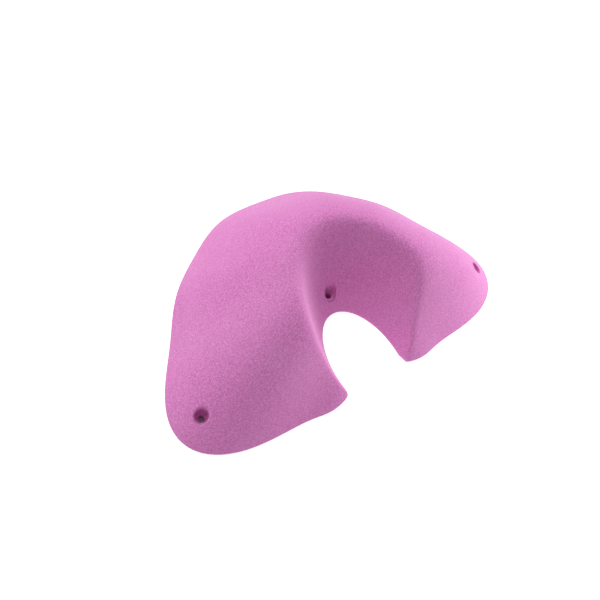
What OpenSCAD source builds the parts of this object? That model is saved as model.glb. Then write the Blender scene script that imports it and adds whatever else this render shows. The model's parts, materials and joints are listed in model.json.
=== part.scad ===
// Bolt-on climbing hold: a hollow glass-fibre shell in the shape of a croissant.
// The hold lies on its flat back. Z is 0 on the back, which is the face that meets the climbing wall.
// X runs along the two lobes, and +Y runs from the notch up to the crown.
// The plan is a mirror image about X = 0, and its box is centred on the origin.

/* [Dome] */
// Height of the dome over the wall, before the bowl is scooped out of it
dome_h = 162; // [130:1:195]
// Fullness of the flank towards the crown: 1 is a cone, 2 a parabola
flank_crown = 1.95; // [1.6:0.05:2.6]
// Fullness of the flank towards the lobes
flank_side = 1.85; // [1.5:0.05:2.4]
// Fullness of the flank towards the notch
flank_notch = 0.90; // [0.8:0.05:1.2]

/* [Outline] */
// Distance from the dome's axis to the outline, straight up
reach_crown = 226; // [185:1:270]
// The same, 22.5 degrees round from straight up
reach_crown_side = 232; // [205:1:260]
// The same, 45 degrees round
reach_shoulder = 233; // [215:1:255]
// The same, 67.5 degrees round
reach_shoulder_low = 249; // [230:1:270]
// The same, 90 degrees round
reach_lobe = 289; // [265:1:310]
// The same, 112.5 degrees round, at the lobe's end
reach_lobe_end = 302; // [280:1:325]
// The same, 135 degrees round
reach_belly = 204; // [190:1:220]
// The same, 157.5 degrees round, near the tip
reach_tip = 159; // [150:1:170]
// The same, straight down, inside the notch
reach_notch = 102; // [90:1:115]

/* [Bowl and notch] */
// Half the width of the notch where the shell meets the wall
notch_half_w = 57; // [48:1:66]
// Height of the notch, from its centre to its top
notch_h = 96; // [80:1:110]
// How far the centre of the notch lies below the dome's axis
notch_drop = 113; // [100:1:125]
// Rise of the bowl's wall from the notch, for each notch radius outwards
bowl_rise = 110; // [90:1:135]
// Extra rise of the bowl's wall as it curls up to the rim
bowl_curl = 50; // [20:1:75]
// Width over which the rim is rounded, at the tips
rim_soft_tip = 3; // [2:0.5:6]
// Extra rounding of the rim for each millimetre of height
rim_soft_rise = 0.20; // [0.05:0.01:0.30]

/* [Laminate] */
// Thickness of the glass-fibre laminate
laminate_t = 5; // [4:0.5:7]
// Height of the square edge that stands on the wall
edge_h = 3; // [3:0.5:5]
// Width of the flat land round the back
land_w = 8; // [7:1:9]

/* [Bolts] */
// Direction of the lobe bolts from the dome's axis, in degrees round from straight up
lobe_bolt_angle = 104.5; // [100:0.5:108]
// Distance of the lobe bolts from the outline, along that direction
lobe_bolt_inset = 38; // [34:1:46]
// Distance of the middle bolt from the notch's edge
centre_bolt_inset = 25; // [23:1:34]
// Bore for the bolt's shank, M10 with clearance
bolt_bore_d = 11; // [10.5:0.5:12]
// Well for the bolt's head, at its seat
seat_d = 17; // [16.5:0.5:19]
// Each ring of the well is this much wider than the one below
ring_step = 1.2; // [0.8:0.2:1.6]
// Height of one ring
ring_rise = 3.5; // [2.5:0.5:5]
// Rings in each well
ring_count = 3; // [2:1:4]
// Wall of the cup that forms the well
well_wall = 3.5; // [2.5:0.5:4]
// Gap between a cup and its hole in the laminate
cup_gap = 0.2; // [0.1:0.05:0.5]
// How far the top of a cup stays under the outside of the laminate
cup_sink = 0.3; // [0.2:0.1:1]
// Height of the bolt seats in the lobes above the wall
lobe_seat_z = 16; // [12:1:18]
// Height of the middle bolt seat above the wall
centre_seat_z = 22; // [12:1:24]

/* [Foot washers] */
// Outside of the steel washer under each well
washer_d = 25; // [22:0.5:28]
// Hole in the steel washer
washer_hole_d = 12.5; // [12:0.5:14]
// Thickness of the steel washer
washer_t = 3; // [2:0.5:4]
// Radial gap between a washer and its recess
washer_gap = 0.2; // [0.1:0.05:0.4]
// Least wall of the cup round the washer's recess
foot_wall = 1.1; // [1:0.1:3]

/* [Ribs] */
// Thickness of the plywood ribs
rib_t = 12; // [9:1:15]
// How far the ribs stay back from the wall
rib_recess = 1.5; // [1:0.5:4]
// Gap between a rib's top edge and the laminate
glue_gap = 1.0; // [0.8:0.1:1.5]
// Gap between a rib's end and the land
rib_end_gap = 9; // [7:1:14]
// Width and depth of the putty fillet along each side of a rib
fillet_w = 12; // [8:1:15]
// Place of the shoulder ribs, from the tip (0) round to the crown (0.5)
shoulder_rib_at = 0.36; // [0.32:0.01:0.40]
// Place of the lobe ribs, from the tip (0) round to the crown (0.5)
lobe_rib_at = 0.225; // [0.21:0.005:0.25]

/* [Hidden] */
$fn = 64;

// Sections across the croissant from tip to tip, and points along each section
section_count = 88;
across_count = 28;
// The tip's rounded nose: it ends at nose_from and takes its full width at nose_to
nose_from = 0.012;
nose_to = 0.05;
nose_sections = 5;
// The hollow starts this many sections in from each tip
hollow_from = 8;
// Points along the top edge of a rib
rib_points = 22;
// Cutters run past the faces that they cut by this much
past = 2;

// ---- Plan outline ----
reaches = [
    reach_crown, reach_crown_side, reach_shoulder, reach_shoulder_low,
    reach_lobe, reach_lobe_end, reach_belly, reach_tip, reach_notch
];
reach_last = len(reaches) - 1;

function total(list) = list * [for (item = list) 1];
function end_weight(i) = (i == 0 || i == reach_last) ? 0.5 : 1;

// The outline is a cosine series that passes through the nine reaches
cosine_terms = [
    for (k = [0:reach_last])
        2 / reach_last * end_weight(k)
        * total([for (j = [0:reach_last]) end_weight(j) * reaches[j] * cos(k * j * 180 / reach_last)])
];
function reach(angle) = total([for (k = [0:reach_last]) cosine_terms[k] * cos(k * angle)]);

// Plan positions are measured from the dome's axis until the last step, where the whole plan is centred
notch_centre = [0, -notch_drop];
function outline_at(angle) = reach(angle) * [sin(angle), cos(angle)];
function notch_edge_at(angle) = notch_centre + [notch_half_w * cos(angle), notch_h * sin(angle)];

// Angle round from straight up, the same on both sides
function angle_of(p) = atan2(abs(p.x), p.y);
function dome_ratio(p) = norm(p) / reach(angle_of(p));

// Where the notch's edge runs out through the outline, found by halving
function tip_angle(low, high, steps) =
    steps == 0 ? (low + high) / 2
    : let (middle = (low + high) / 2)
      dome_ratio(notch_edge_at(middle)) > 1 ? tip_angle(middle, high, steps - 1)
      : tip_angle(low, middle, steps - 1);
notch_tip = tip_angle(-80, 0, 40);
outline_tip = angle_of(notch_edge_at(notch_tip));

// ---- Height of the shell's outside ----
function flank_power(angle) =
    let (
        mean = (flank_crown + 2 * flank_side + flank_notch) / 4,
        lean = (flank_crown - flank_notch) / 2,
        pinch = (flank_crown - 2 * flank_side + flank_notch) / 4
    )
    mean + lean * cos(angle) + pinch * cos(2 * angle);

function dome_z(p) = dome_h * (1 - pow(dome_ratio(p), flank_power(angle_of(p))));
function bowl_z(p) =
    let (
        offset = p - notch_centre,
        out = norm([offset.x / notch_half_w, offset.y / notch_h]) - 1
    )
    bowl_rise * out + bowl_curl * out * abs(out);

// The lower of dome and bowl, with the rim between them rounded
function outside_z(p) =
    let (
        dome = dome_z(p),
        bowl = bowl_z(p),
        soft = rim_soft_tip + rim_soft_rise * max(0, min(dome, bowl))
    )
    edge_h + (dome + bowl - sqrt(pow(dome - bowl, 2) + soft * soft)) / 2;

// Slope by a central difference, for a wall of even thickness measured square to the surface
slope_step = 1;
function slope(p) =
    norm([
        outside_z(p + [slope_step, 0]) - outside_z(p - [slope_step, 0]),
        outside_z(p + [0, slope_step]) - outside_z(p - [0, slope_step])
    ]) / (2 * slope_step);
steepest = 2.2;
thinnest_share = 0.3;
function inside_z(p) =
    let (top = outside_z(p))
    max(top - laminate_t * sqrt(1 + pow(min(slope(p), steepest), 2)), thinnest_share * top);

// ---- Sections from the right tip (0) over the crown (0.5) to the left tip (1) ----
function section_ends(at) = [
    notch_edge_at(notch_tip + (180 - 2 * notch_tip) * at),
    outline_at(outline_tip * (1 - 2 * at))
];

// Narrowing of the sections at the tips, which makes the round noses
function nose_width(at) =
    let (from_tip = min(at, 1 - at))
    from_tip >= nose_to ? 1
    : sqrt(max(0, 1 - pow((nose_to - from_tip) / (nose_to - nose_from), 2)));
function narrowed_ends(at) =
    let (
        ends = section_ends(at),
        middle = (ends[0] + ends[1]) / 2,
        width = nose_width(at)
    )
    [middle + (ends[0] - middle) * width, middle + (ends[1] - middle) * width];

half_places = concat(
    [for (i = [1:nose_sections]) nose_from + (nose_to - nose_from) * (1 - cos(90 * i / nose_sections))],
    [
        for (i = [1:section_count / 2 - nose_sections])
            nose_to + (0.5 - nose_to) * i / (section_count / 2 - nose_sections)
    ]
);
places = concat(
    half_places,
    [for (i = [len(half_places) - 2:-1:0]) 1 - half_places[i]]
);
last_place = len(places) - 1;

// Plan points along one section, a little closer together at both ends
function spread(v) = v / 2 + (1 - cos(180 * v)) / 4;
function along(ends) = [for (j = [0:across_count]) ends[0] + (ends[1] - ends[0]) * spread(j / across_count)];
function inset_ends(ends, inset) =
    let (step = (ends[1] - ends[0]) / norm(ends[1] - ends[0]) * inset)
    [ends[0] + step, ends[1] - step];

outside_plan = [for (at = places) along(narrowed_ends(at))];
hollow_plan = [
    for (i = [hollow_from:last_place - hollow_from]) along(inset_ends(section_ends(places[i]), land_w))
];

// The plan's box is centred on the origin
rim_points = [for (row = outside_plan) for (p = [row[0], row[across_count]]) p];
low_y = min([for (p = rim_points) p.y]);
high_y = max([for (p = rim_points) p.y]);
centring = [0, -(low_y + high_y) / 2];

// ---- Faces between grids of points ----
// A layer holds rows of points, one after the other, and starts at the point numbered "first"
function row_start(first, row_len, i) = first + i * row_len;

function sheet_faces(first, rows, row_len) = [
    for (i = [0:rows - 2]) for (j = [0:row_len - 2])
        let (a = row_start(first, row_len, i) + j)
        for (face = [[a, a + 1, a + row_len + 1], [a, a + row_len + 1, a + row_len]]) face
];

// The points round the edge of a layer, in order
function edge_ring(first, rows, row_len) = concat(
    [for (i = [0:rows - 1]) row_start(first, row_len, i)],
    [for (j = [1:row_len - 1]) row_start(first, row_len, rows - 1) + j],
    [for (i = [rows - 2:-1:0]) row_start(first, row_len, i) + row_len - 1],
    [for (j = [row_len - 2:-1:1]) first + j]
);

// Upright walls from the edge of one layer down to the edge of the layer under it
function wall_faces(top_ring, floor_ring) = [
    for (k = [0:len(top_ring) - 1])
        let (next = (k + 1) % len(top_ring))
        for (face = [
            [top_ring[k], top_ring[next], floor_ring[next]],
            [top_ring[k], floor_ring[next], floor_ring[k]]
        ]) face
];
function turned(faces) = [for (face = faces) [for (k = [len(face) - 1:-1:0]) face[k]]];
function layer(plan, tops) = [
    for (i = [0:len(plan) - 1]) for (j = [0:len(plan[i]) - 1]) [plan[i][j].x, plan[i][j].y, tops[i][j]]
];
function level(plan, z) = [for (row = plan) [for (p = row) z]];

// The laminate: an outer sheet, an inner sheet, and a flat land between their edges
module skin() {
    row_len = across_count + 1;
    rows = len(outside_plan);
    hollow_rows = len(hollow_plan);
    outer_top = 0;
    outer_floor = rows * row_len;
    inner_top = 2 * outer_floor;
    inner_floor = inner_top + hollow_rows * row_len;
    points = concat(
        layer(outside_plan, [for (row = outside_plan) [for (p = row) outside_z(p)]]),
        layer(outside_plan, level(outside_plan, 0)),
        layer(hollow_plan, [for (row = hollow_plan) [for (p = row) inside_z(p)]]),
        layer(hollow_plan, level(hollow_plan, 0))
    );
    outer_walls = wall_faces(edge_ring(outer_top, rows, row_len), edge_ring(outer_floor, rows, row_len));
    inner_walls = wall_faces(
        edge_ring(inner_top, hollow_rows, row_len),
        edge_ring(inner_floor, hollow_rows, row_len)
    );
    // The land beside the hollow, on the notch side (0) and on the outline side (across_count)
    side_land = [
        for (i = [0:hollow_rows - 2])
            let (
                outer = row_start(outer_floor, row_len, i + hollow_from),
                inner = row_start(inner_floor, row_len, i)
            )
            for (face = [
                [outer, outer + row_len, inner + row_len, inner],
                [
                    inner + across_count, inner + row_len + across_count,
                    outer + row_len + across_count, outer + across_count
                ]
            ]) face
    ];
    // The land at the tips, one polygon each
    right_land = concat(
        [for (i = [hollow_from:-1:0]) row_start(outer_floor, row_len, i)],
        [for (j = [1:across_count]) outer_floor + j],
        [for (i = [1:hollow_from]) row_start(outer_floor, row_len, i) + across_count],
        [for (j = [across_count:-1:0]) inner_floor + j]
    );
    last_outer = row_start(outer_floor, row_len, rows - 1);
    left_land = concat(
        [for (i = [rows - 1 - hollow_from:rows - 1]) row_start(outer_floor, row_len, i)],
        [for (j = [1:across_count]) last_outer + j],
        [for (i = [rows - 2:-1:rows - 1 - hollow_from]) row_start(outer_floor, row_len, i) + across_count],
        [for (j = [across_count:-1:0]) row_start(inner_floor, row_len, hollow_rows - 1) + j]
    );
    polyhedron(points, concat(
        turned(sheet_faces(outer_top, rows, row_len)),
        turned(outer_walls),
        sheet_faces(inner_top, hollow_rows, row_len),
        inner_walls,
        turned(side_land),
        [right_land],
        turned([left_land])
    ));
}

// ---- Bolts ----
// Each site holds its plan position and the height of its seat
lobe_bolt = (reach(lobe_bolt_angle) - lobe_bolt_inset) * [sin(lobe_bolt_angle), cos(lobe_bolt_angle)];
left_site = [[-lobe_bolt.x, lobe_bolt.y], lobe_seat_z];
centre_site = [notch_edge_at(90) + [0, centre_bolt_inset], centre_seat_z];
right_site = [lobe_bolt, lobe_seat_z];
well_top_d = seat_d + ring_count * ring_step;
recess_d = washer_d + 2 * washer_gap;
cup_d = max(well_top_d + 2 * well_wall, recess_d + 2 * foot_wall);

module at_site(site) {
    translate([site[0].x, site[0].y, 0]) children();
}

module shell() {
    color("orchid")
    translate(centring)
    difference() {
        skin();
        for (site = [left_site, centre_site, right_site]) {
            at_site(site) translate([0, 0, -past]) cylinder(d = cup_d + 2 * cup_gap, h = dome_h);
        }
    }
}

// The plane that trims the top of a cup, just under the outside of the laminate all the way round
rim_checks = 16;
function cup_rim(site) = [
    for (i = [0:rim_checks - 1]) site[0] + cup_d / 2 * [cos(360 * i / rim_checks), sin(360 * i / rim_checks)]
];
function surface_lean(site) =
    let (reach_out = cup_d / 2)
    [
        outside_z(site[0] + [reach_out, 0]) - outside_z(site[0] - [reach_out, 0]),
        outside_z(site[0] + [0, reach_out]) - outside_z(site[0] - [0, reach_out])
    ] / cup_d;
function cup_top(site) =
    min([for (p = cup_rim(site)) outside_z(p) - surface_lean(site) * (p - site[0])]) - cup_sink;

module above_cup(site) {
    lean = surface_lean(site);
    block = 4 * dome_h;
    translate([0, 0, cup_top(site)])
    rotate([0, atan(norm(lean)), atan2(-lean.y, -lean.x)])
    translate([-block / 2, -block / 2, 0]) cube([block, block, block]);
}

// The cup round one bolt, from the wall up through the laminate. Its rings step inwards down to the seat,
// and its foot holds the washer
module bolt_cup(site) {
    seat_z = site[1];
    color("plum")
    translate(centring)
    at_site(site)
    difference() {
        cylinder(d = cup_d, h = dome_h / 2);
        above_cup(site);
        translate([0, 0, -past]) cylinder(d = bolt_bore_d, h = seat_z + 2 * past);
        for (i = [0:ring_count]) {
            translate([0, 0, seat_z + i * ring_rise]) cylinder(d = seat_d + i * ring_step, h = dome_h);
        }
        translate([0, 0, -past]) cylinder(d = recess_d, h = washer_t + past);
    }
}

module bolt_washer(site) {
    color("silver")
    translate(centring)
    at_site(site)
    difference() {
        cylinder(d = washer_d, h = washer_t);
        translate([0, 0, -past]) cylinder(d = washer_hole_d, h = washer_t + 2 * past);
    }
}

// ---- Ribs ----
spine_at = 0.5;
cup_clear = 3;
// The middle rib stops short of the middle cup
spine_start = (centre_site[0].y + cup_d / 2 + cup_clear) - notch_edge_at(90).y;
plain_start = land_w + rib_end_gap;

function rib_start(at) = at == spine_at ? max(plain_start, spine_start) : plain_start;
function rib_length(at) = norm(section_ends(at)[1] - section_ends(at)[0]);
function rib_direction(at) = (section_ends(at)[1] - section_ends(at)[0]) / rib_length(at);
function rib_side(at) = [-rib_direction(at).y, rib_direction(at).x];
function rib_heading(at) = atan2(rib_direction(at).y, rib_direction(at).x);
function rib_distances(at) =
    let (from = rib_start(at), to = rib_length(at) - land_w - rib_end_gap)
    [for (i = [0:rib_points]) from + (to - from) * i / rib_points];

// Plan point at a distance along a rib and a distance to its side
function rib_point(at, distance, sideways) =
    section_ends(at)[0] + rib_direction(at) * distance + rib_side(at) * sideways;
function rib_top(at, distance) =
    min([for (side = [-1, 0, 1]) inside_z(rib_point(at, distance, side * rib_t / 2))]) - glue_gap;

module rib(at) {
    distances = rib_distances(at);
    start = section_ends(at)[0];
    profile = concat(
        [[distances[0], rib_recess], [distances[rib_points], rib_recess]],
        [for (i = [rib_points:-1:0]) [distances[i], rib_top(at, distances[i])]]
    );
    color("burlywood")
    translate([start.x + centring.x, start.y + centring.y, 0])
    rotate([90, 0, rib_heading(at)])
    translate([0, 0, -rib_t / 2]) linear_extrude(rib_t) polygon(profile);
}

// Putty in the corner between one side of a rib and the laminate, a swept triangle
module fillet_strip(at, side) {
    distances = rib_distances(at);
    rings = [
        for (d = distances)
            let (
                foot = rib_point(at, d, side * rib_t / 2),
                outer = rib_point(at, d, side * (rib_t / 2 + fillet_w)),
                corner_z = rib_top(at, d),
                depth = min(fillet_w, corner_z - rib_recess - past)
            )
            [
                [foot.x, foot.y, corner_z],
                [foot.x, foot.y, corner_z - depth],
                [outer.x, outer.y, max(inside_z(outer) - 2 * glue_gap, corner_z - depth)]
            ]
    ];
    points = [for (ring = rings) for (p = ring) p];
    last = 3 * rib_points;
    sides = [
        for (i = [0:rib_points - 1]) for (k = [0:2])
            let (a = 3 * i + k, b = 3 * i + (k + 1) % 3)
            for (face = [[a, b, b + 3], [a, b + 3, a + 3]])
                side < 0 ? face : [face[2], face[1], face[0]]
    ];
    caps = side < 0 ? [[2, 1, 0], [last, last + 1, last + 2]] : [[0, 1, 2], [last + 2, last + 1, last]];
    polyhedron(points, concat(sides, caps));
}

module fillets(at) {
    color("khaki")
    translate(centring)
    for (side = [-1, 1]) fillet_strip(at, side);
}

shell();
bolt_cup(left_site);  // bolt_cup_left
bolt_cup(centre_site);  // bolt_cup_centre
bolt_cup(right_site);  // bolt_cup_right
bolt_washer(left_site);  // bolt_washer_left
bolt_washer(centre_site);  // bolt_washer_centre
bolt_washer(right_site);  // bolt_washer_right
rib(spine_at);  // rib_spine
rib(1 - shoulder_rib_at);  // rib_shoulder_left
rib(shoulder_rib_at);  // rib_shoulder_right
rib(1 - lobe_rib_at);  // rib_lobe_left
rib(lobe_rib_at);  // rib_lobe_right
fillets(spine_at);  // fillet_spine
fillets(1 - shoulder_rib_at);  // fillet_shoulder_left
fillets(shoulder_rib_at);  // fillet_shoulder_right
fillets(1 - lobe_rib_at);  // fillet_lobe_left
fillets(lobe_rib_at);  // fillet_lobe_right
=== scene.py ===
# %% [markdown]
# A large bolt-on climbing hold, the kind that gyms call a macro. The real one is a hollow glass-fibre
# moulding: a dome with a croissant-shaped plan, a scooped bowl to grip and a rounded notch.
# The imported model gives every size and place, so it is loaded first and stays fixed.

# %% Load the frame
import json
import math

import bmesh
import bpy
from mathutils import Matrix, Vector, noise


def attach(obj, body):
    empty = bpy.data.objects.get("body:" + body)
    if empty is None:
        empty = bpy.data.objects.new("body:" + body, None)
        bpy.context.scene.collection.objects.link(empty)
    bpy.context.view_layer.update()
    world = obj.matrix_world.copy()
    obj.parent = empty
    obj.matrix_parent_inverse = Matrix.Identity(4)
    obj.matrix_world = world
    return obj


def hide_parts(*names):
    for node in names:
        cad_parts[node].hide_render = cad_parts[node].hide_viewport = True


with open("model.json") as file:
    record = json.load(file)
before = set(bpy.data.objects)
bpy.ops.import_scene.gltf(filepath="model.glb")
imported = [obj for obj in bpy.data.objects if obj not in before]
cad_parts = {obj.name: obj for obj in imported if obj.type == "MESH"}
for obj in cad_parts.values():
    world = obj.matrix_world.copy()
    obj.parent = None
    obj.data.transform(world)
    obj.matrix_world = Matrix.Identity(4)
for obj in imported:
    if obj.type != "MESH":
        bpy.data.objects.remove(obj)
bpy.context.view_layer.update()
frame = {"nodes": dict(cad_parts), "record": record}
MOUNTS = {mount["name"]: Vector(mount["pos_m"]) for mount in frame["record"]["mounts"]}

# %% [markdown]
# Every piece ends in the same way: doubles merged, faces turned outwards, shaded smooth except over
# sharp edges, and riding on the hold's one body. One function does that, so no piece can miss a step.

# %% Finish a piece
MM = 0.001
MERGE = 0.01 * MM
SHARP = math.radians(50)


def add_piece(name, work, materials, replaced):
    """A finished piece from a bmesh. It stands for the CAD nodes in replaced."""
    bmesh.ops.remove_doubles(work, verts=work.verts, dist=MERGE)
    bmesh.ops.recalc_face_normals(work, faces=work.faces)
    mesh = bpy.data.meshes.new(name)
    work.to_mesh(mesh)
    work.free()
    mesh.shade_smooth()
    mesh.set_sharp_from_angle(angle=SHARP)
    for material in materials:
        mesh.materials.append(material)
    piece = bpy.data.objects.new(name, mesh)
    bpy.context.scene.collection.objects.link(piece)
    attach(piece, "root")
    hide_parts(*replaced)
    print(name, "has", len(mesh.polygons), "faces")
    return piece


# %% [markdown]
# Materials are small networks of nodes. Written out link by link they are hard to read, so a value that
# comes out of a node is wrapped in a class that understands + - * and friends: each adds a Math node.
# Anything else, such as a noise or a bump, comes from one method that takes the node's type, its
# settings and what goes into its sockets.

# %% Shader arithmetic
class Value:
    """What comes out of a node's socket. Arithmetic on it adds Math nodes."""

    def __init__(self, finish, socket):
        self.finish = finish
        self.socket = socket

    def math(self, operation, *terms):
        return self.finish.node("ShaderNodeMath", {"operation": operation}, dict(enumerate(terms)))

    def __add__(self, other):
        return self.math("ADD", self, other)

    __radd__ = __add__

    def __mul__(self, other):
        return self.math("MULTIPLY", self, other)

    __rmul__ = __mul__

    def __sub__(self, other):
        return self.math("SUBTRACT", self, other)

    def __rsub__(self, other):
        return self.math("SUBTRACT", other, self)


class Finish:
    """One material: a Principled shader and the nodes that feed it."""

    def __init__(self, name, **constants):
        self.material = bpy.data.materials.new(name)
        self.material.use_nodes = True
        self.tree = self.material.node_tree
        self.shader = self.tree.nodes["Principled BSDF"]
        for socket, value in constants.items():
            self.shader.inputs[socket.replace("_", " ")].default_value = value
        self.place = self.node("ShaderNodeTexCoord", output="Object")

    def node(self, kind, settings=None, inputs=None, output=0):
        """A new node, with its settings made first, then its sockets filled or linked."""
        made = self.tree.nodes.new(kind)
        for name, value in (settings or {}).items():
            setattr(made, name, value)
        for key, value in (inputs or {}).items():
            self.fill(made.inputs[key], value)
        return Value(self, made.outputs[output])

    def fill(self, socket, value):
        if isinstance(value, Value):
            self.tree.links.new(value.socket, socket)
        else:
            socket.default_value = value

    def set(self, socket, value):
        """Links a value to the shader."""
        self.fill(self.shader.inputs[socket], value)

    def noise(self, size, detail=2.0, rough=0.5, place=None):
        """Noise whose blobs are about size metres across, from 0 to 1."""
        inputs = {"Vector": place or self.place, "Scale": 1 / size, "Detail": detail, "Roughness": rough}
        return self.node("ShaderNodeTexNoise", {}, inputs)

    def ramp(self, value, low, high):
        """0 below low and 1 above high, smooth between."""
        settings = {"interpolation_type": "SMOOTHSTEP"}
        return self.node("ShaderNodeMapRange", settings, {0: value, 1: low, 2: high})

    def mix(self, mask, low, high):
        """The colour low where mask is 0 and high where it is 1."""
        return self.node("ShaderNodeMix", {"data_type": "RGBA"}, {0: mask, 6: low, 7: high}, output=2)

    def bump(self, height, distance, strength=1.0):
        inputs = {"Height": height, "Distance": distance, "Strength": strength}
        self.set("Normal", self.node("ShaderNodeBump", {}, inputs))


# %% [markdown]
# The coat on such a hold is paint full of fine quartz sand, sprayed over the laminate so that skin and
# rubber grip it. Up close it is a field of grains under a millimetre across, with darker paint between
# them. From a step away it is an even, dull colour with a faint cloudiness from the spray. Two sizes of
# noise make the grains, and a slow noise makes the clouds. Sheen on the shader gives the pale edge that
# any sanded surface has at a low angle.

# %% Texture coat
GRAIN = 1.3 * MM
COARSE_GRAIN = 2.4 * MM
CLOUD = 90 * MM
PINK = (0.73, 0.235, 0.565, 1)
PINK_PIT = (0.44, 0.100, 0.33, 1)
PINK_TIP = (0.88, 0.38, 0.74, 1)
CHALK = (0.83, 0.45, 0.70, 1)
SHEEN = 0.45
SHEEN_PINK = (1.0, 0.60, 0.90, 1)
BACK_EDGE_Z = 3 * MM


def texture_coat(name, grit=1.0):
    """Pink paint with sand in it, a little rubbed along the back edge. grit is 1 for the full coat."""
    coat = Finish(
        name, Sheen_Weight=SHEEN, Sheen_Roughness=0.4, Sheen_Tint=SHEEN_PINK, Specular_IOR_Level=0.3
    )
    grain = coat.noise(GRAIN, detail=3)
    coarse = coat.noise(COARSE_GRAIN, detail=2)
    cloud = coat.noise(CLOUD, detail=3)
    height = grain * 0.5 + coarse * 0.5
    pits = 1 - coat.ramp(height, 0.36, 0.58)
    tips = coat.ramp(height, 0.50, 0.68)
    colour = coat.mix(pits * 0.55, PINK, PINK_PIT)
    colour = coat.mix(tips * 0.45, colour, PINK_TIP)
    colour = coat.mix(coat.ramp(cloud, 0.35, 0.75) * 0.10, colour, CHALK)
    z = coat.node("ShaderNodeSeparateXYZ", {}, {0: coat.place}, output="Z")
    rubbed = (1 - coat.ramp(z + coarse * (2 * MM), BACK_EDGE_Z * 0.6, BACK_EDGE_Z * 1.6)) * 0.5
    coat.set("Base Color", coat.mix(rubbed, colour, CHALK))
    coat.set("Roughness", 0.92 - tips * 0.12 - rubbed * 0.1)
    coat.bump(height, 0.5 * MM, 0.85 * grit)
    return coat.material


texture_pink = texture_coat("texture coat, pink")
print("made", texture_pink.name)

# %% [markdown]
# Inside, the hold is never painted. The back of the laminate is chopped glass mat in resin, with the pink
# of the front skin showing through, and it is lumpy where the roller pressed the mat down.

# %% Raw laminate
STRAND = 26 * MM
STRAND_THIN = 2.2 * MM
STRAND_TURNS = (0.3, 1.4, 2.5)
STRAND_TILT = (0.2, 0.1)
LUMP = 14 * MM


def raw_laminate():
    """Glass mat in resin: short pale strands that cross, over a dull pink."""
    raw = Finish("raw glass laminate", Specular_IOR_Level=0.5, Coat_Weight=0.2)
    strands = None
    for turn in STRAND_TURNS:
        scale = (1 / STRAND, 1 / STRAND_THIN, 1 / STRAND)
        inputs = {"Vector": raw.place, "Rotation": (*STRAND_TILT, turn), "Scale": scale}
        laid = raw.node("ShaderNodeMapping", {}, inputs)
        streak = raw.ramp(raw.noise(1.0, detail=1, place=laid), 0.56, 0.66)
        strands = streak if strands is None else strands.math("MAXIMUM", strands, streak)
    lumps = raw.noise(LUMP, detail=3)
    colour = raw.mix(lumps, (0.40, 0.15, 0.27, 1), (0.58, 0.27, 0.38, 1))
    raw.set("Base Color", raw.mix(strands * 0.5, colour, (0.70, 0.50, 0.52, 1)))
    raw.set("Roughness", 0.35 + lumps * 0.35)
    raw.bump(strands * 0.5 + lumps, 0.8 * MM, 0.7)
    return raw.material


laminate = raw_laminate()
print("made", laminate.name)

# %% [markdown]
# The shell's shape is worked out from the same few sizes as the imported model. The outside is a dome whose
# height falls from an axis to an outline, and a bowl that rises from a half-oval notch. The lower of the
# two is the surface, and a soft minimum rounds the rim between them. Formulas suit this shape better than
# pushing points by hand, because the dome, the bowl and the rim stay smooth however fine the mesh is.

# %% Sizes of the shell
DOME_H = 162 * MM
FLANK_CROWN, FLANK_SIDE, FLANK_NOTCH = 1.95, 1.85, 0.90
REACHES = [226, 232, 233, 249, 289, 302, 204, 159, 102]
NOTCH_HALF_W = 57 * MM
NOTCH_H = 96 * MM
NOTCH_DROP = 113 * MM
BOWL_RISE = 110 * MM
BOWL_CURL = 50 * MM
RIM_SOFT_TIP = 3 * MM
RIM_SOFT_RISE = 0.20
LAMINATE_T = 5 * MM
STEEPEST = 2.2
THINNEST_SHARE = 0.3
SETTLE = 0.1 * MM
LAND_W = 8 * MM
CENTRE_BOLT_INSET = 25 * MM

# The plan is measured from the dome's axis, which lies on the middle line
AXIS_Y = MOUNTS["bolt_centre"].y - (NOTCH_H - NOTCH_DROP + CENTRE_BOLT_INSET)
print("dome's axis at y =", round(AXIS_Y, 4))

# %% Outline
LAST = len(REACHES) - 1


def end_weight(i):
    return 0.5 if i in (0, LAST) else 1.0


def cosine_term(k):
    """How much of cos(k angle) the outline holds, so that it passes through the nine reaches."""
    shares = (end_weight(j) * r * math.cos(k * j * math.pi / LAST) for j, r in enumerate(REACHES))
    return 2 / LAST * end_weight(k) * sum(shares) * MM


TERMS = [cosine_term(k) for k in range(LAST + 1)]


def reach(angle):
    """Distance from the dome's axis to the outline, for an angle round from straight up."""
    return sum(term * math.cos(k * angle) for k, term in enumerate(TERMS))


def outline_at(angle):
    return Vector((math.sin(angle), math.cos(angle))) * reach(angle)


def notch_edge_at(angle):
    return Vector((NOTCH_HALF_W * math.cos(angle), NOTCH_H * math.sin(angle) - NOTCH_DROP))


def angle_of(p):
    return math.atan2(abs(p.x), p.y)


def dome_ratio(p):
    return p.length / reach(angle_of(p))


def tip_angle():
    """Where the notch's edge runs out through the outline, found by halving."""
    low, high = math.radians(-80), 0.0
    for _ in range(40):
        middle = (low + high) / 2
        if dome_ratio(notch_edge_at(middle)) > 1:
            low = middle
        else:
            high = middle
    return low


NOTCH_TIP = tip_angle()
OUTLINE_TIP = angle_of(notch_edge_at(NOTCH_TIP))
print("tips at", round(math.degrees(OUTLINE_TIP), 1), "degrees round from the crown")


# %% Height of the shell
def flank_power(angle):
    """Fullness of the flank: 1 is a cone, 2 a parabola."""
    mean = (FLANK_CROWN + 2 * FLANK_SIDE + FLANK_NOTCH) / 4
    lean = (FLANK_CROWN - FLANK_NOTCH) / 2
    pinch = (FLANK_CROWN - 2 * FLANK_SIDE + FLANK_NOTCH) / 4
    return mean + lean * math.cos(angle) + pinch * math.cos(2 * angle)


def dome_z(p):
    return DOME_H * (1 - dome_ratio(p) ** flank_power(angle_of(p)))


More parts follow.
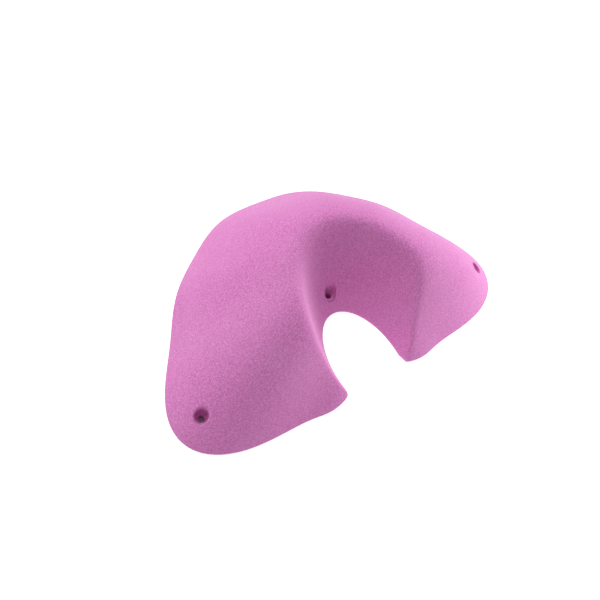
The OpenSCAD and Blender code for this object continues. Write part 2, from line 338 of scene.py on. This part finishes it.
def bowl_z(p):
    out = math.hypot(p.x / NOTCH_HALF_W, (p.y + NOTCH_DROP) / NOTCH_H) - 1
    return BOWL_RISE * out + BOWL_CURL * out * abs(out)


def outside_z(p):
    """The lower of dome and bowl, with the rim between them rounded."""
    dome, bowl = dome_z(p), bowl_z(p)
    soft = RIM_SOFT_TIP + RIM_SOFT_RISE * max(0.0, min(dome, bowl))
    return BACK_EDGE_Z + (dome + bowl - math.hypot(dome - bowl, soft)) / 2


def coat_z(p):
    """The outside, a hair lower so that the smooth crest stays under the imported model's."""
    return outside_z(p) - SETTLE


def lean_at(p, step):
    """How steeply the outside rises along x and along y, measured over a step to each side."""
    dx, dy = Vector((step, 0)), Vector((0, step))
    rise_x = outside_z(p + dx) - outside_z(p - dx)
    rise_y = outside_z(p + dy) - outside_z(p - dy)
    return Vector((rise_x, rise_y)) / (2 * step)


def inside_z(p):
    """The back of the laminate, an even thickness in, measured square to the surface."""
    slope = lean_at(p, MM).length
    top = outside_z(p)
    return max(top - LAMINATE_T * math.sqrt(1 + min(slope, STEEPEST) ** 2), THINNEST_SHARE * top)


# %% [markdown]
# The mesh is a plain grid whose rows are sections across the croissant, from one tip over the crown to
# the other. bmesh makes the grid, and each of its points is then moved to its place. Where the croissant
# narrows to its tips the rows shrink as a half circle does, which gives the tips their round noses.

# %% Sections across the croissant
ALONG = 300
ACROSS = 84
NOSE_FROM, NOSE_TO = 0.0125, 0.05
NOSE_SHARE = 0.10
NOSE_START = 0.08


def place_along(share):
    """Place of a section from the right tip (0) over the crown (0.5) to the left tip (1)."""
    from_tip = 2 * min(share, 1 - share)
    if from_tip < NOSE_SHARE:
        turn = math.pi / 2 * (NOSE_START + (1 - NOSE_START) * from_tip / NOSE_SHARE)
        at = NOSE_FROM + (NOSE_TO - NOSE_FROM) * (1 - math.cos(turn))
    else:
        at = NOSE_TO + (0.5 - NOSE_TO) * (from_tip - NOSE_SHARE) / (1 - NOSE_SHARE)
    return at if share < 0.5 else 1 - at


def section_ends(at):
    """Where a section meets the notch's edge and where it meets the outline."""
    notch_side = notch_edge_at(NOTCH_TIP + (math.pi - 2 * NOTCH_TIP) * at)
    if at <= 0.5:
        return notch_side, outline_at(OUTLINE_TIP * (1 - 2 * at))
    return notch_side, mirrored(outline_at(OUTLINE_TIP * (2 * at - 1)))


def mirrored(p):
    return Vector((-p.x, p.y))


def narrowed(at, ends):
    from_tip = min(at, 1 - at)
    if from_tip >= NOSE_TO:
        return ends
    width = math.sqrt(max(0.0, 1 - ((NOSE_TO - from_tip) / (NOSE_TO - NOSE_FROM)) ** 2))
    middle = (ends[0] + ends[1]) / 2
    return middle + (ends[0] - middle) * width, middle + (ends[1] - middle) * width


def inset(ends, distance):
    step = (ends[1] - ends[0]).normalized() * distance
    return ends[0] + step, ends[1] - step


def spread(v):
    """A little closer together at both ends of a section."""
    return v / 2 + (1 - math.cos(math.pi * v)) / 4


def to_frame(p, z):
    return Vector((p.x, p.y + AXIS_Y, z))


def to_plan(co):
    return Vector((co.x, co.y - AXIS_Y))


# %% Sheets
HOLLOW_FROM = 0.055
LEVEL_FROM = 0.12
TUCK = 0.7 * MM


def sheet(work, ends_at, height):
    """A grid laid over the croissant at the given height. Returns its points."""
    made = bmesh.ops.create_grid(work, x_segments=ACROSS, y_segments=ALONG, size=0.5)["verts"]
    sections = {}
    for vert in made:
        row = round((vert.co.y + 0.5) * ALONG)
        if row not in sections:
            sections[row] = ends_at(row / ALONG)
        near, far = sections[row]
        p = near + (far - near) * spread(vert.co.x + 0.5)
        vert.co = to_frame(p, height(p))
    return made


def outside_ends(share):
    """The smooth outline is drawn in a little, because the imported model's has short flat sides."""
    at = place_along(share)
    near, far = narrowed(at, section_ends(at))
    return near, far + (near - far).normalized() * TUCK


def hollow_ends(share):
    """The hollow starts short of the tips, and past them its rows lie level with the outside's."""
    at = min(share, 1 - share)
    if at < LEVEL_FROM:
        at = HOLLOW_FROM + (LEVEL_FROM - HOLLOW_FROM) * at / LEVEL_FROM
    return inset(section_ends(at if share < 0.5 else 1 - at), LAND_W)


def rim_edges(verts):
    """The edges round a sheet."""
    held = set(verts)
    return [e for e in {e for v in verts for e in v.link_edges} if e.is_boundary and e.verts[0] in held]


def skirt(work, verts, drops):
    """Walls from the edge of a sheet down to the wall's face. drops are heights as shares of the edge's."""
    edges = rim_edges(verts)
    start = {v: v.co.z for e in edges for v in e.verts}
    for share in drops:
        made = bmesh.ops.extrude_edge_only(work, edges=edges)["geom"]
        edges = [g for g in made if isinstance(g, bmesh.types.BMEdge)]
        for vert in {v for e in edges for v in e.verts}:
            vert.co.z *= share
    return edges


def land(work, floor_edges, outer_at, inner_at):
    """The flat ring between the feet of the two skirts. Each point goes to its partner's place."""
    partner = {out.xy[:]: back.xy for out, back in zip(outer_at, inner_at)}
    made = bmesh.ops.extrude_edge_only(work, edges=floor_edges)["geom"]
    for vert in (g for g in made if isinstance(g, bmesh.types.BMVert)):
        vert.co.xy = partner[vert.co.xy[:]]


# %% [markdown]
# Each bolt passes through the shell in a round hole. The grid's faces round the hole are removed, and the
# gap is bridged to a ring that lies on the surface. More rings then roll over the rim as a quarter circle,
# because a sprayed coat never leaves a crisp edge, and run down the wall of the hole.

# %% Bolt holes
SEAT_R = 8.5 * MM
RING_STEP = 0.6 * MM
RING_RISE = 3.5 * MM
RING_COUNT = 3
HOLE_SPARE = 0.5 * MM
WELL_TOP_R = SEAT_R + RING_COUNT * RING_STEP
HOLE_R = WELL_TOP_R + HOLE_SPARE
CUP_R = 13.8 * MM
CUP_GAP = 0.2 * MM
CUP_HOLE_R = CUP_R + CUP_GAP
RIM_ROLL = 1.6 * MM
ROLL_STEPS = 5
RING_POINTS = 72
CLEARED = 1.9 * MM


def ring(work, site, radius, height):
    """A ring of points round a bolt's axis, each at the surface's height."""
    turned = Matrix.Translation((site.x, site.y, 0))
    made = bmesh.ops.create_circle(
        work, cap_ends=False, radius=radius, segments=RING_POINTS, matrix=turned
    )["verts"]
    for vert in made:
        vert.co.z = height(to_plan(vert.co))
    return made


def ring_edges(verts):
    held = set(verts)
    return [e for e in {e for v in verts for e in v.link_edges} if e.verts[0] in held and e.verts[1] in held]


def open_hole(work, sheet_verts, site, radius, height):
    """Clears a sheet's faces round a bolt and bridges the gap to a ring. Returns the ring's edges."""
    def near(point, reach_out):
        return math.hypot(point.x - site.x, point.y - site.y) < reach_out

    faces = {f for v in sheet_verts if v.is_valid and near(v.co, 3 * radius) for f in v.link_faces}
    lost = [f for f in faces if near(f.calc_center_median(), radius + CLEARED)]
    border = {e for f in lost for e in f.edges if any(g not in lost for g in e.link_faces)}
    bmesh.ops.delete(work, geom=lost, context="FACES")
    inner = ring_edges(ring(work, site, radius, height))
    bmesh.ops.bridge_loops(work, edges=list(border) + inner)
    return inner


def roll_over(work, edges, site, radius, height):
    """Rolls the rim of a hole over and steps out under it to the wider hole that the cup fills."""
    turns = [math.pi / 2 * step / ROLL_STEPS for step in range(1, ROLL_STEPS + 1)]
    profile = [(radius - RIM_ROLL * math.sin(turn), RIM_ROLL * (1 - math.cos(turn))) for turn in turns]
    for out, drop in profile + [(CUP_HOLE_R, RIM_ROLL)]:
        made = bmesh.ops.extrude_edge_only(work, edges=edges)["geom"]
        edges = [g for g in made if isinstance(g, bmesh.types.BMEdge)]
        for vert in {v for e in edges for v in e.verts}:
            arm = Vector((vert.co.x - site.x, vert.co.y - site.y)).normalized() * out
            vert.co.x, vert.co.y = site.x + arm.x, site.y + arm.y
            vert.co.z = height(to_plan(vert.co)) - drop
    return edges


# %% [markdown]
# The shell is built as the laminate is: an outer sheet, an inner sheet, walls down to the back, and a flat
# land between the two where the hold stands on the climbing wall. The two sheets are laid alike, so each
# point of one foot has a partner on the other, and the land joins them pair by pair.
# Outer faces take the texture coat, and inner faces show the raw laminate.

# %% Shell
SIDES = ["left", "centre", "right"]
SITES = [MOUNTS["bolt_" + side_name] for side_name in SIDES]


def build_shell():
    work = bmesh.new()
    outer = sheet(work, outside_ends, coat_z)
    outer_at = [v.co.copy() for v in outer]
    outer_floor = skirt(work, outer, (0.5, 0.0))
    walls = []
    for site in SITES:
        edges = open_hole(work, outer, site, HOLE_R + RIM_ROLL, coat_z)
        walls.append(roll_over(work, edges, site, HOLE_R + RIM_ROLL, coat_z))
    outside_count = len(work.faces)
    inner = sheet(work, hollow_ends, inside_z)
    inner_at = [v.co.copy() for v in inner]
    skirt(work, inner, (0.0,))
    for site, wall in zip(SITES, walls):
        bridged = open_hole(work, inner, site, CUP_HOLE_R, inside_z)
        bmesh.ops.bridge_loops(work, edges=wall + bridged)
    work.faces.ensure_lookup_table()
    for face in work.faces[outside_count:]:
        face.material_index = 1
    land(work, outer_floor, outer_at, inner_at)
    return work


shell = add_piece("shell_skin", build_shell(), [texture_pink, laminate], ["shell"])

# %% [markdown]
# Under each hole a moulded cup carries the bolt. Its wall steps inwards ring by ring down to a flat seat,
# which is how a well is drafted so that it lets go of its mould. The cup is turned about the bolt's axis,
# so its half section is drawn once and spun. Its top is then cut along the slope of the shell.

# %% Turned pieces
TURN_STEPS = 96
SOFT_EDGE = 0.35 * MM
SOFT_STEPS = 2
CORNER = math.radians(40)


def turned_piece(work, axis_at, section):
    """Spins a closed half section of (radius, height) points about a bolt's axis."""
    verts = [work.verts.new((axis_at.x + r, axis_at.y, z)) for r, z in section]
    edges = [work.edges.new((verts[i], verts[i - 1])) for i in range(len(verts))]
    bmesh.ops.spin(
        work, geom=verts + edges, cent=(axis_at.x, axis_at.y, 0), axis=(0, 0, 1), dvec=(0, 0, 0),
        angle=2 * math.pi, steps=TURN_STEPS, use_merge=True, use_duplicate=False,
    )
    bmesh.ops.remove_doubles(work, verts=work.verts, dist=MERGE)
    bmesh.ops.recalc_face_normals(work, faces=work.faces)


def soften(work, offset):
    """Rounds every corner that is sharper than CORNER."""
    corners = [e for e in work.edges if len(e.link_faces) == 2 and e.calc_face_angle() > CORNER]
    bmesh.ops.bevel(
        work, geom=corners, offset=offset, offset_type="OFFSET", affect="EDGES", segments=SOFT_STEPS,
        profile=0.5, material=-1, clamp_overlap=True,
    )


# %% Bolt cups
BORE_R = 5.5 * MM
WASHER_T = 3 * MM
RECESS_R = 12.7 * MM
CUP_SINK = 2.1 * MM
RING_EDGE = 0.12 * MM


def build_cup(site):
    """The bore runs from the washer up to the seat, and its middle is the mount's place."""
    work = bmesh.new()
    seat_z = 2 * site.z - WASHER_T
    section = [(BORE_R, WASHER_T), (RECESS_R, WASHER_T), (RECESS_R, 0)]
    section += [(CUP_R, 0), (CUP_R, DOME_H), (WELL_TOP_R, DOME_H)]
    for i in range(RING_COUNT, 0, -1):
        z = seat_z + i * RING_RISE
        section += [(SEAT_R + i * RING_STEP, z), (SEAT_R + (i - 1) * RING_STEP, z)]
    section += [(SEAT_R, seat_z), (BORE_R, seat_z)]
    turned_piece(work, site, section)
    soften(work, RING_EDGE)
    plan = to_plan(site)
    lean = lean_at(plan, CUP_R)
    slope_up = Vector((-lean.x, -lean.y, 1)).normalized()
    cut_at = Vector((site.x, site.y, outside_z(plan) - CUP_SINK))
    everything = work.verts[:] + work.edges[:] + work.faces[:]
    cut = bmesh.ops.bisect_plane(work, geom=everything, plane_co=cut_at, plane_no=slope_up, clear_outer=True)
    rim = [g for g in cut["geom_cut"] if isinstance(g, bmesh.types.BMEdge)]
    bmesh.ops.triangle_fill(work, edges=rim, use_beauty=True)
    return work


cup_coat = texture_coat("texture coat, thin, in the wells", grit=0.5)
for side_name in SIDES:
    cup = build_cup(MOUNTS["bolt_" + side_name])
    add_piece("cup_" + side_name, cup, [cup_coat], ["bolt_cup_" + side_name])

# %% [markdown]
# A steel washer in the foot of each cup spreads the bolt's pull. It is a stamped ring: its edges are a
# little round, the zinc is mottled, and turning marks run round its faces.

# %% Washers
WASHER_R = 12.5 * MM
WASHER_HOLE_R = 6.25 * MM
TURNING_MARKS = 0.35 * MM
MOTTLE = 4 * MM


def zinc(name, centre):
    """Zinc plate with fine rings about the bolt's axis."""
    steel = Finish(name, Specular_IOR_Level=0.5)
    steel.set("Metallic", 1.0)
    about = steel.node("ShaderNodeVectorMath", {"operation": "SUBTRACT"}, {0: steel.place, 1: centre})
    flat = steel.node("ShaderNodeVectorMath", {"operation": "MULTIPLY"}, {0: about, 1: (1, 1, 0)})
    out = steel.node("ShaderNodeVectorMath", {"operation": "LENGTH"}, {0: flat}, output="Value")
    round_and_round = out * (math.tau / TURNING_MARKS)
    marks = round_and_round.math("SINE", round_and_round)
    mottle = steel.noise(MOTTLE, detail=4)
    steel.set("Base Color", steel.mix(mottle, (0.50, 0.51, 0.53, 1), (0.74, 0.74, 0.72, 1)))
    steel.set("Roughness", 0.28 + mottle * 0.25 + marks * 0.05)
    steel.bump(marks * 0.5 + mottle, 0.05 * MM, 0.5)
    return steel.material


def build_washer(site):
    work = bmesh.new()
    section = [(WASHER_HOLE_R, 0), (WASHER_R, 0), (WASHER_R, WASHER_T), (WASHER_HOLE_R, WASHER_T)]
    turned_piece(work, site, section)
    soften(work, SOFT_EDGE)
    return work


for side_name in SIDES:
    bolt_site = MOUNTS["bolt_" + side_name]
    finish = zinc(f"zinc plate, {side_name}", (bolt_site.x, bolt_site.y, 0))
    washer = build_washer(bolt_site)
    add_piece("washer_" + side_name, washer, [finish], ["bolt_washer_" + side_name])

# %% [markdown]
# Plywood ribs stop the thin shell from flexing under a climber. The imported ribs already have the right
# outline, so each is copied, its loose triangles are merged, and its sawn edges are eased by a bevel.
# Birch plywood shows its plies on every sawn edge, so the pattern runs across the rib's thickness.

# %% Ribs
RIBS = ["spine", "shoulder_left", "shoulder_right", "lobe_left", "lobe_right"]
PLY = 1.4 * MM
GRAIN_STRETCH = (600, 18, 500)
FLAT = math.radians(0.5)


def copied(node):
    """A bmesh of a CAD node with its loose triangles merged and its flat faces whole again."""
    work = bmesh.new()
    work.from_mesh(frame["nodes"][node].data)
    bmesh.ops.remove_doubles(work, verts=work.verts, dist=MERGE)
    bmesh.ops.dissolve_limit(work, angle_limit=FLAT, verts=work.verts, edges=work.edges)
    return work


def heading(work):
    """Direction of a rib in plan, from its largest face."""
    side = max(work.faces, key=lambda face: face.calc_area()).normal
    return math.atan2(side.y, side.x)


def plywood(name, turn):
    """Birch plywood whose plies are stacked along the plan direction turn."""
    wood = Finish(name, Specular_IOR_Level=0.35)
    inputs = {"Vector": wood.place, "Angle": -turn}
    laid = wood.node("ShaderNodeVectorRotate", {"rotation_type": "Z_AXIS"}, inputs)
    split = wood.node("ShaderNodeSeparateXYZ", {}, {0: laid}, output="X")
    layers = split * (math.pi / PLY)
    ply = wood.ramp(layers.math("SINE", layers), -0.35, 0.35)
    stretched = wood.node("ShaderNodeMapping", {}, {"Vector": laid, "Scale": GRAIN_STRETCH})
    grain = wood.noise(1.0, detail=4, rough=0.6, place=stretched)
    colour = wood.mix(grain, (0.56, 0.38, 0.21, 1), (0.78, 0.60, 0.38, 1))
    wood.set("Base Color", wood.mix(ply * 0.45, colour, (0.40, 0.25, 0.13, 1)))
    wood.set("Roughness", 0.62 + grain * 0.2)
    wood.bump(grain + ply * 0.4, 0.25 * MM, 0.5)
    return wood.material


EASED = 0.7 * MM
for rib_name in RIBS:
    work = copied("rib_" + rib_name)
    finish = plywood(f"birch plywood, {rib_name}", heading(work))
    soften(work, EASED)
    add_piece("ply_" + rib_name, work, [finish], ["rib_" + rib_name])

# %% [markdown]
# Putty and glass tape fill the corner between each rib and the laminate. The bead is pressed in with a
# gloved thumb, so it is hollow across and uneven along its length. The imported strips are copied, cut
# finer, and their free face is drawn in by noise that stays inside the strip.

# %% Fillets
THUMB = 22 * MM
DRAWN_IN = 0.8 * MM
BEAD_CUTS = 3
SMEAR = 9 * MM
PORE = 1.2 * MM


def putty():
    """Cured putty, chalky, with small dark pores."""
    paste = Finish("bonding putty", Specular_IOR_Level=0.4)
    smear = paste.noise(SMEAR, detail=4)
    pores = paste.ramp(paste.noise(PORE, detail=1), 0.62, 0.70)
    colour = paste.mix(smear, (0.52, 0.46, 0.31, 1), (0.74, 0.69, 0.52, 1))
    paste.set("Base Color", paste.mix(pores * 0.6, colour, (0.36, 0.31, 0.21, 1)))
    paste.set("Roughness", 0.55 + smear * 0.3)
    paste.bump(smear - pores * 0.4, 0.6 * MM, 0.7)
    return paste.material


bonding_putty = putty()


def build_bead(node):
    work = bmesh.new()
    work.from_mesh(frame["nodes"][node].data)
    bmesh.ops.remove_doubles(work, verts=work.verts, dist=MERGE)
    bmesh.ops.subdivide_edges(work, edges=work.edges[:], cuts=BEAD_CUTS, use_grid_fill=True)
    work.normal_update()
    for vert in work.verts:
        vert.co -= vert.normal * DRAWN_IN * (1 + noise.noise(vert.co / THUMB)) / 2
    bmesh.ops.smooth_vert(
        work, verts=work.verts[:], factor=0.5, use_axis_x=True, use_axis_y=True, use_axis_z=True
    )
    return work


for rib_name in RIBS:
    bead = build_bead("fillet_" + rib_name)
    add_piece("bead_" + rib_name, bead, [bonding_putty], ["fillet_" + rib_name])

# %% [markdown]
# The light is that of a white studio: a bright dome all round, and one large soft lamp beyond the crown,
# which leaves the bowl in shade and gives the left flank its pale band.

# %% Floor, light and camera
FLOOR_SIZE = 12.0
floor_work = bmesh.new()
bmesh.ops.create_grid(floor_work, x_segments=1, y_segments=1, size=FLOOR_SIZE / 2)
floor_mesh = bpy.data.meshes.new("floor")
floor_work.to_mesh(floor_mesh)
floor_work.free()
floor = bpy.data.objects.new("floor", floor_mesh)
bpy.context.scene.collection.objects.link(floor)
# The paper glows a little, to stay white, but not under the bolt holes: there the glow is taken away as a
# painted shade, so the paper seen through each bore is dark
PAPER_GLOW = 0.62
PAINTED_BORE_SHADE_TO, GLOW_FROM = 15 * MM, 17 * MM
paper = Finish("white paper", Specular_IOR_Level=0.1)
paper.set("Base Color", (0.95, 0.95, 0.95, 1))
paper.set("Roughness", 0.9)
paper.set("Emission Color", (1, 1, 1, 1))
glow_with_painted_bore_shade = PAPER_GLOW
# Painted shade: the paper's glow fades to nothing under each bolt hole, so the bores look dark
for site in SITES:
    inputs = {0: paper.place, 1: site}
    offset = paper.node("ShaderNodeVectorMath", {"operation": "DISTANCE"}, inputs, output="Value")
    glow_with_painted_bore_shade = paper.ramp(offset, PAINTED_BORE_SHADE_TO, GLOW_FROM) * glow_with_painted_bore_shade
paper.set("Emission Strength", glow_with_painted_bore_shade)
floor_mesh.materials.append(paper.material)

WORLD_LIGHT = 0.335
world = bpy.data.worlds.new("studio")
world.use_nodes = True
world.node_tree.nodes["Background"].inputs["Color"].default_value = (1, 1, 1, 1)
world.node_tree.nodes["Background"].inputs["Strength"].default_value = WORLD_LIGHT
bpy.context.scene.world = world
bpy.context.scene.view_settings.view_transform = "Standard"


KEY_FROM = Vector((0.10, 0.60, 0.79))
key_light = bpy.data.lights.new("key", "SUN")
key_light.energy = 2.2
key_light.angle = math.radians(50)
key = bpy.data.objects.new("key", key_light)
key.rotation_euler = KEY_FROM.to_track_quat("Z", "Y").to_euler()
bpy.context.scene.collection.objects.link(key)

# A small lamp low beyond the right lobe lifts that side without reaching into the bowl
SIDE_PLACE = Vector((0.75, -0.45, 0.12))
SIDE_AIM = Vector((0.20, -0.12, 0.05))
side_light = bpy.data.lights.new("side", "AREA")
side_light.size = 0.35
side_light.energy = 3.2
side = bpy.data.objects.new("side", side_light)
side.location = SIDE_PLACE
side.rotation_euler = (SIDE_PLACE - SIDE_AIM).to_track_quat("Z", "Y").to_euler()
bpy.context.scene.collection.objects.link(side)

LENS = 31.68
SENSOR = 36.0
AZIMUTH = math.radians(-54.30)
ELEVATION = math.radians(59.99)
ROLL = math.radians(24.63)
AIM = Vector((-0.03597, -0.00844, 0))
DISTANCE = 0.86315

camera_data = bpy.data.cameras.new("camera")
camera_data.lens = LENS
camera_data.sensor_width = SENSOR
camera_data.clip_start = 0.05
camera = bpy.data.objects.new("camera", camera_data)
back = Vector(
    (math.sin(AZIMUTH) * math.cos(ELEVATION), -math.cos(AZIMUTH) * math.cos(ELEVATION), math.sin(ELEVATION))
)
upright = (-back).to_track_quat("-Z", "Y").to_matrix()
rolled = (upright @ Matrix.Rotation(ROLL, 3, "Z")).to_4x4()
camera.matrix_world = Matrix.Translation(AIM + back * DISTANCE) @ rolled
bpy.context.scene.collection.objects.link(camera)
bpy.context.scene.camera = camera
print("camera at", [round(c, 4) for c in camera.location])
